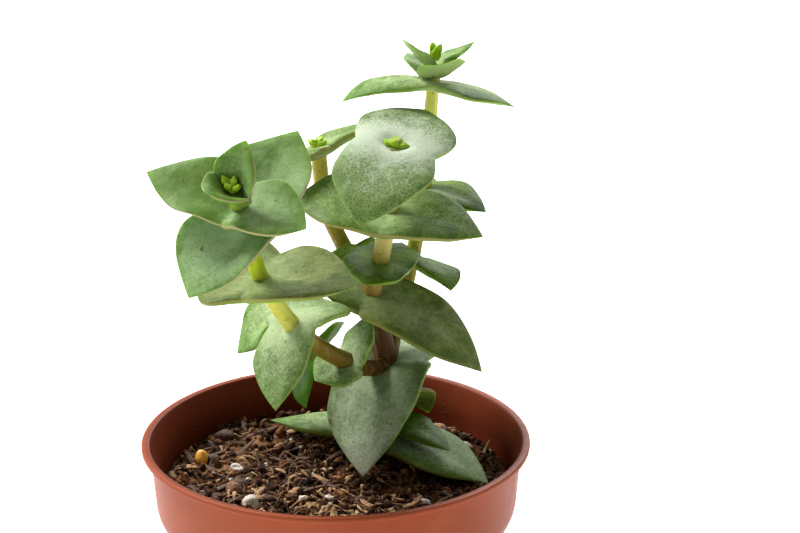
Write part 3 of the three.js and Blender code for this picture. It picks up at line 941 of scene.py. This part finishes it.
# Shares of a leaf's length: where it is widest, where it has turned up to its rise, and where
# it has taken all of its roll.
BELLY = 0.38
BEND = 0.12
ROLLED = 0.6
# The part of the thickness that lies above the margins, and the part that is gone at the tip.
TOP_SHARE = 0.38
THINNING = 0.55
DISH_FROM = 0.15
# The groove's width is a share of half the leaf's. Wave and unevenness are in millimetres.
GROOVE_WIDTH = 0.13
WAVE = 0.12
UNEVENNESS = 0.10
MIDRIB_STEPS = 40
# How strongly a leaf's rings crowd towards its tip, and a ring's points towards the margins.
TIP_CROWDING = 1.25
MARGIN_CROWDING = 0.22


def width_share(waist, s):
    if s < BELLY:
        return waist + (1 - waist) * math.sin(math.pi / 2 * s / BELLY) ** 0.8
    return max(0.0, math.cos(math.pi / 2 * (s - BELLY) / (1 - BELLY))) ** 0.96


def slope(blade, s):
    rise = math.radians(blade["rise"]) * np.minimum(1, s / BEND)
    return rise - math.radians(blade["droop"]) * s ** 1.3


def midrib(blade, s):
    """How far out and up from the stem the midrib has come at a share s of its length."""
    angles = slope(blade, s * (np.arange(MIDRIB_STEPS) + 0.5) / MIDRIB_STEPS)
    step = blade["length"] * s / MIDRIB_STEPS
    return step * np.cos(angles).sum(), step * np.sin(angles).sum()


def turned(first, second, angle):
    """Two directions turned together by an angle in their own plane."""
    return (
        first * math.cos(angle) + second * math.sin(angle),
        second * math.cos(angle) - first * math.sin(angle),
    )


def leaf_ring(pair, blade, side, s, angles):
    """The ring of a leaf's skin at a share s of its length. The second leaf has side -1."""
    east, north = square_to(pair["axis"])
    along = turned(east, north, math.radians(pair["turn"]))[0] * side
    across = np.cross(pair["axis"], along)
    out, up = midrib(blade, s)
    drift = blade["length"] * math.tan(math.radians(blade["sweep"])) * s * s / 2
    centre = pair["point"] + along * out + pair["axis"] * up + across * drift
    upward = turned(along, pair["axis"], slope(blade, s))[1]
    wide, high = turned(across, upward, math.radians(blade["roll"]) * min(1, s / ROLLED))
    half = blade["width"] / 2
    reach = half * width_share(pair["waist"], s)
    thick = pair["thick"] * (1 - THINNING * s ** 1.5) * min(1, reach / half * 1.6)
    dish = pair["dish"] * blade["width"] * math.sqrt(1 - s) * math.sin(math.pi * min(1, DISH_FROM + s))
    share = np.sign(np.cos(angles)) * abs(np.cos(angles)) ** 0.8
    sideways = reach * share
    upper = np.sign(np.sin(angles)) * abs(np.sin(angles)) ** 0.82
    level = dish * (sideways / half) ** 2
    level = level + thick * np.where(upper > 0, TOP_SHARE, 1 - TOP_SHARE) * upper
    # A shallow groove runs up the midrib, the blade waves a little, and its margin is uneven.
    fade = math.sin(math.pi * min(1, s * 1.15 + 0.05))
    groove = pair["groove"] * np.exp(-(share / GROOVE_WIDTH) ** 2) * np.maximum(upper, 0)
    wave = WAVE * np.sin(9 * s + 2.5 * share + pair["phase"]) * abs(share)
    level = level + fade * (wave - groove)
    uneven = np.sin(13 * s + pair["phase"] * 3 + np.sign(share))
    sideways = sideways + UNEVENNESS * fade * share * uneven
    return centre + wide * (sideways * side)[:, None] + high * level[:, None]


def pair_mesh(pair, stations, sides):
    """Points and faces of a whole pair, and the marks that say where each point is on it."""
    shares = 1 - (1 - np.linspace(0, 1, stations + 1)) ** TIP_CROWDING
    angles = full_turn(sides)
    angles = angles - MARGIN_CROWDING * np.sin(2 * angles)
    halves = []
    for blade, side in zip(pair["leaves"], (1, -1)):
        halves.append([leaf_ring(pair, blade, side, s, angles) for s in shares])
    first, second = halves
    middle = (first[0] + second[0]) / 2
    rings = np.array(second[-2:0:-1] + [middle] + first[1:-1])
    points, faces = skin(rings, second[-1][0], first[-1][0])
    inner = list(shares[1:-1])
    along = np.repeat([-s for s in inner[::-1]] + [0.0] + inner, sides)
    across = np.tile(np.sign(np.cos(angles)) * abs(np.cos(angles)) ** 0.85, len(rings))
    upper = np.tile(np.sin(angles), len(rings))
    marks = {
        "along": np.append(along, [-1.0, 1.0]),
        "across": np.append(across, [0.0, 0.0]),
        "upper": np.append(upper, [0.0, 0.0]),
    }
    return points, faces, marks


def leaf_finish(name, look):
    """A leaf's skin in the colours of its age and of the light that it grew in, and for some looks painted
    shade and light.
    """
    material, place = start_material(name)
    tint = {part: colour(*value) for part, value in look.items() if isinstance(value, tuple)}
    lengthwise = place.mark("along")
    first_leaf = lengthwise.between(-0.15, 0.15)
    along = abs(lengthwise)
    across = abs(place.mark("across"))
    upper = place.mark("upper")
    top = upper.between(-0.12, 0.22)
    rim = 1.0 - abs(upper).between(0.04, 0.30)
    patches = place.grain(3.4, 3.0, 0.4)
    mottling = place.grain(1.1, 5.0, 0.5)
    dust = place.grain(0.36, 4.0, 0.2)
    pores = place.grain(0.15, 3.0)
    green = (patches * 0.5 + mottling * 0.5).between(0.38, 0.62).blend(tint["deep"], tint["green"])
    # Powder lies thickest round the stem and along the midrib, and thins out in fine grains.
    ridge = (1.0 - across.between(0.0, 0.5)) * (1.0 - along.between(0.2, 0.9))
    near = (1.0 - along.between(0.02, 0.5)) + ridge * 0.3
    bare = across.between(0.6, 1.0) * 0.3 + along.between(0.55, 1.0) * look["worn"]
    bloom = near * look["bloom"] + first_leaf * look["first"] - bare
    grains = bloom + dust * 0.8 + mottling * 0.6 + patches * 0.3
    cover = grains.between(0.72 - look["haze"], 1.62 - look["haze"])
    powdered = cover.blend(green, tint["powder"])
    specks = pores.between(0.48, 0.64) * (1.1 - near * 0.9) * look["speckle"]
    dotted = specks.blend(powdered, tint["dot"])
    below = patches.between(0.3, 0.7).blend(tint["under"], tint["under_light"])
    whole = top.blend(below, dotted)
    lined = (rim * look["edge"]).blend(whole, tint["margin"])
    # Here and there an old graze has healed to a small brown scar.
    grazes = place.grain(0.9, 1.0, 0.8).between(0.735, 0.76)
    scarred = (grazes * 0.7).blend(lined, colour(96, 56, 34))
    tip = along.between(0.955, 0.995)
    tipped = (tip * look["tip"]).blend(scarred, colour(120, 72, 46))
    finish_material(
        place,
        {
            "Base Color": tipped,
            "Roughness": 0.48 + cover * 0.2 + pores * 0.08,
            "Subsurface Weight": 0.25,
            "Subsurface Radius": (0.55, 1.0, 0.2),
            "Subsurface Scale": 0.0018,
            "Specular IOR Level": 0.12,
        },
        patches * 0.8 + dust * 0.3 + pores * 0.12,
        0.14,
    )
    return material


# The numbers of a look: speckle darkens the pores. Bloom adds powder near the stem, haze all
# over, and first on the first leaf alone. Worn takes it off the tips. Edge and tip bring out
# the margin and the brown of the tip.
grey = {
    "deep": (88, 116, 50), "green": (114, 140, 72), "dot": (56, 84, 32), "powder": (170, 187, 142),
    "under": (98, 126, 40), "under_light": (124, 148, 58), "margin": (138, 156, 80),
    "speckle": 0.55, "bloom": 0.4, "haze": 0.26, "first": 0.0, "worn": 0.3, "edge": 0.4, "tip": 0.6,
}
looks = {"grey": grey}
# Silver's first leaf, the lower one, carries less powder: partly its own greener skin, partly painted
# shade.
looks["silver"] = {
    **grey,
    "deep": (104, 128, 66), "green": (128, 150, 90), "powder": (190, 202, 176),
    "speckle": 0.75, "bloom": 0.75, "first": -0.26, "worn": 0.45,
}
# Stone has less powder by the stem, a painted shade, and more on its tips, a painted light.
looks["stone"] = {
    **grey,
    "deep": (92, 114, 64), "green": (114, 134, 84), "powder": (166, 177, 150),
    "speckle": 0.4, "bloom": -0.3, "haze": 0.36, "worn": -0.5,
}
looks["green"] = {
    **grey,
    "deep": (84, 112, 36), "green": (114, 142, 60), "dot": (44, 70, 16), "powder": (160, 180, 126),
    "margin": (156, 136, 88),
    "speckle": 0.75, "haze": 0.06, "edge": 0.7,
}
looks["olive"] = {
    **grey,
    "deep": (78, 98, 36), "green": (114, 124, 58), "dot": (54, 64, 22), "powder": (144, 158, 108),
    "margin": (140, 116, 72),
    "bloom": 0.3, "haze": 0.06,
}
# Dark is the deep green of pairs low down and behind, partly their own colour and partly painted shade.
looks["dark"] = {
    **grey,
    "deep": (58, 84, 8), "green": (86, 114, 22), "dot": (38, 60, 6), "powder": (138, 162, 84),
    "margin": (112, 134, 46),
    "bloom": 0.05, "haze": 0.16,
}
looks["young"] = {
    **grey,
    "deep": (90, 124, 46), "green": (114, 144, 66), "dot": (66, 98, 38), "powder": (152, 180, 130),
    "under": (92, 126, 34), "under_light": (116, 148, 52), "margin": (164, 146, 116),
    "speckle": 0.3, "bloom": 0.2, "haze": -0.1, "first": 0.24, "edge": 0.8,
}
looks["fresh"] = {
    **grey,
    "deep": (72, 112, 26), "green": (102, 140, 46), "powder": (176, 192, 142),
    "under": (134, 156, 88), "under_light": (158, 180, 112), "margin": (132, 170, 50),
    "speckle": 0.5, "haze": 0.2,
}
looks["vivid"] = {
    **grey,
    "deep": (52, 100, 2), "green": (76, 126, 4), "powder": (110, 150, 50), "under": (84, 136, 4),
    "under_light": (112, 160, 8), "margin": (126, 172, 30),
    "speckle": 0.15, "bloom": 0.0, "haze": -0.5,
}
# Leaves that have just opened wide have their powder spread out further.
looks["spread"] = {**looks["young"], "haze": 0.5, "first": -0.34}
finishes = {name: leaf_finish(f"leaf_{name}", look) for name, look in looks.items()}
# Every pair that isn't named here is grey.
pairs_of_look = {
    "silver": {"centre_8"},
    "stone": {"centre_4"},
    "green": {"centre_7", "centre_3", "back_3"},
    "olive": {"centre_5", "front_3"},
    "dark": {"centre_6", "centre_2", "back_1", "back_2", "right_1", "right_2"},
    "young": {"front_5", "front_6"},
    "spread": {"front_4"},
    "fresh": {"right_3", "right_4", "right_5", "low_2"},
    "vivid": {"low_1"},
}


def look_of(name):
    for look, pairs in pairs_of_look.items():
        if name in pairs:
            return look
    return "grey"


LEAF_STATIONS = 46
LEAF_SIDES = 48
STEM_ROOM = 1.9
STEM_SINK = 0.3
BUD_SINK = 1.0
for shoot_name, shoot in shoots.items():
    for number, row in enumerate(shoot["pairs"], 1):
        height, heading, lean, thick, dish, waist, first, second = row
        name = f"{shoot_name}_{number}"
        look = look_of(name)
        point, way = place_on_stem(shoot["line"], height)
        pair = {
            "point": point,
            "axis": unit(way + np.array([*lean, 0])),
            "turn": heading,
            "thick": thick,
            "dish": dish,
            "waist": waist,
            "leaves": [dict(zip(LEAF, first)), dict(zip(LEAF, second))],
            "groove": 0.16 * thick,
            "phase": 1.7 * number + len(shoot_name),
        }
        points, faces, marks = pair_mesh(pair, LEAF_STATIONS, LEAF_SIDES)
        # The skin dips round the stem, and more deeply where the bud sits in the last pair.
        last = number == len(shoot["pairs"])
        room = shoot["bud"]["room"] if last else STEM_ROOM
        sink = BUD_SINK if last else STEM_SINK
        offset = points - point
        lift = offset @ pair["axis"]
        away = np.linalg.norm(offset - lift[:, None] * pair["axis"], axis=1)
        dip = sink * np.exp(-(away / room) ** 4) * (marks["upper"] > 0)
        points = points - dip[:, None] * pair["axis"]
        piece = make_piece(f"leaves_{name}", points, faces, finishes[look], marks)
        slot = "young_leaf" if look in ("young", "spread") else "leaf"
        set_in_place(piece, slot, f"{shoot_name}_leaves_{number}")

# The buds
# At each tip the youngest leaves stand close together in small crossed pairs, yellow-green
# and smooth, on a round heart that sits in the hollow of the last leaf pair.

bud_look = {
    **grey,
    "deep": (118, 158, 14), "green": (160, 190, 44), "dot": (96, 140, 10), "powder": (184, 204, 90),
    "under": (136, 172, 20), "under_light": (170, 198, 46), "margin": (196, 210, 96),
    "speckle": 0.15, "bloom": 0.2, "tip": 0.2,
}
bud_skin = leaf_finish("bud_skin", bud_look)
BUD_STATIONS = 16
BUD_SIDES = 24
STEM_DOME = 0.3
STEEPEST = 52
for shoot_name, shoot in shoots.items():
    size = shoot["bud"]["size"]
    heading = shoot["bud"]["turn"]
    rise = shoot["bud"]["rise"]
    axis = unit(shoot["line"][-1] - shoot["line"][-2])
    heart = 0.9 * size
    # The flatter a bud's leaves lie, the deeper it sits in the hollow.
    sunk = 0.025 * (STEEPEST - rise)
    point = shoot["line"][-1] + axis * (STEM_DOME + GAP + heart - sunk)
    bud = Bundle()
    bud.add(grain_shape * heart + point, grain_faces, along=0.1, across=0.5, upper=1.0)
    young = [
        (heading, 0.0, ((2.2 + 0.02 * rise) * size, 1.9 * size, rise, -12, 0, 0)),
        (heading + 90, 0.3, ((1.5 + 0.02 * rise) * size, 1.5 * size, rise + 14, -10, 0, 0)),
    ]
    for turn, lift, sizes in young:
        pair = {
            "point": point + axis * lift,
            "axis": axis,
            "turn": turn,
            "thick": 1.25 * size,
            "dish": 0.1,
            "waist": 0.8,
            "leaves": [dict(zip(LEAF, sizes))] * 2,
            "groove": 0.1,
            "phase": 0.5 * heading,
        }
        points, faces, marks = pair_mesh(pair, BUD_STATIONS, BUD_SIDES)
        bud.add(points, faces, **marks)
    set_in_place(bud.piece(f"bud_{shoot_name}", bud_skin), "bud", f"{shoot_name}_bud")

# The dry thread
# A dry bract that clings to the trunk's bud: a cream thread, a quarter of a millimetre thick at
# its foot, that leans to the right.

THREAD_FOOT = 0.13
THREAD_TIP = 0.06
thread_path = [(9.3, 2.6, 98.3), (9.9, 2.9, 98.9), (10.5, 3.3, 99.3), (11.2, 3.6, 99.9)]
thread_line = curve_through(thread_path, 6)
thread_turn = full_turn(8)
first, second = square_to(unit(thread_line[-1] - thread_line[0]))
thread_rings = [
    ring_about(point, first, second, reach, thread_turn)
    for point, reach in zip(thread_line, np.linspace(THREAD_FOOT, THREAD_TIP, len(thread_line)))
]
thread_points, thread_faces = skin(np.array(thread_rings), thread_line[0], thread_line[-1])
dry_bract, place = start_material("dry_bract")
strands = place.grain(0.3, 2.0)
finish_material(
    place,
    {"Base Color": strands.blend(colour(214, 190, 150), colour(240, 228, 204)), "Roughness": 0.7},
)
thread = make_piece("bud_thread", thread_points, thread_faces, dry_bract)
set_in_place(thread, "bud")

# The studio
# A plain pale floor, a white sky and two broad soft lamps, one at the left and one behind, with
# the camera at the photograph's point of view.

STUDIO_HALF = 4000.0
AIR_BRIGHTNESS = 0.33
floor_finish, place = start_material("floor_finish")
finish_material(
    place,
    {
        "Base Color": (0.93, 0.93, 0.94, 1),
        "Roughness": 0.9,
        "Specular IOR Level": 0.0,
        "Emission Color": (1, 1, 1, 1),
        "Emission Strength": 0.6,
    },
)
corners = [(x * STUDIO_HALF, y * STUDIO_HALF, 0) for x, y in ((-1, -1), (1, -1), (1, 1), (-1, 1))]
floor = make_piece("floor", corners, [(0, 1, 2, 3)], floor_finish)

world = bpy.data.worlds.new("studio_air")
world.use_nodes = True
air = world.node_tree.nodes["Background"]
air.inputs["Color"].default_value = (1, 1, 1, 1)
air.inputs["Strength"].default_value = AIR_BRIGHTNESS
bpy.context.scene.world = world
bpy.context.scene.view_settings.view_transform = "Standard"


def add_lamp(name, position, target, size, power):
    data = bpy.data.lights.new(name, "AREA")
    data.shape = "DISK"
    data.size = size
    data.energy = power
    lamp = bpy.data.objects.new(name, data)
    lamp.location = position
    bpy.context.scene.collection.objects.link(lamp)
    aim = Vector(target) - Vector(position)
    lamp.rotation_euler = aim.to_track_quat("-Z", "Y").to_euler()


plant_middle = (0.0, 0.0, 0.06)
add_lamp("window", (-0.62, 0.44, 0.84), plant_middle, size=0.5, power=19.5)
add_lamp("back_window", (0.25, 0.9, 0.62), plant_middle, size=0.7, power=8.0)

CAMERA_PLACE = (9.9, -286.8, 174.8)
CAMERA_PITCH = 18.35
LENS = 90.0
SENSOR_WIDTH = 36.0
camera_data = bpy.data.cameras.new("photograph")
camera_data.lens = LENS
camera_data.sensor_width = SENSOR_WIDTH
camera = bpy.data.objects.new("photograph", camera_data)
camera.location = [value * MM for value in CAMERA_PLACE]
camera.rotation_euler = (math.radians(90 - CAMERA_PITCH), 0, 0)
bpy.context.scene.collection.objects.link(camera)
bpy.context.scene.camera = camera
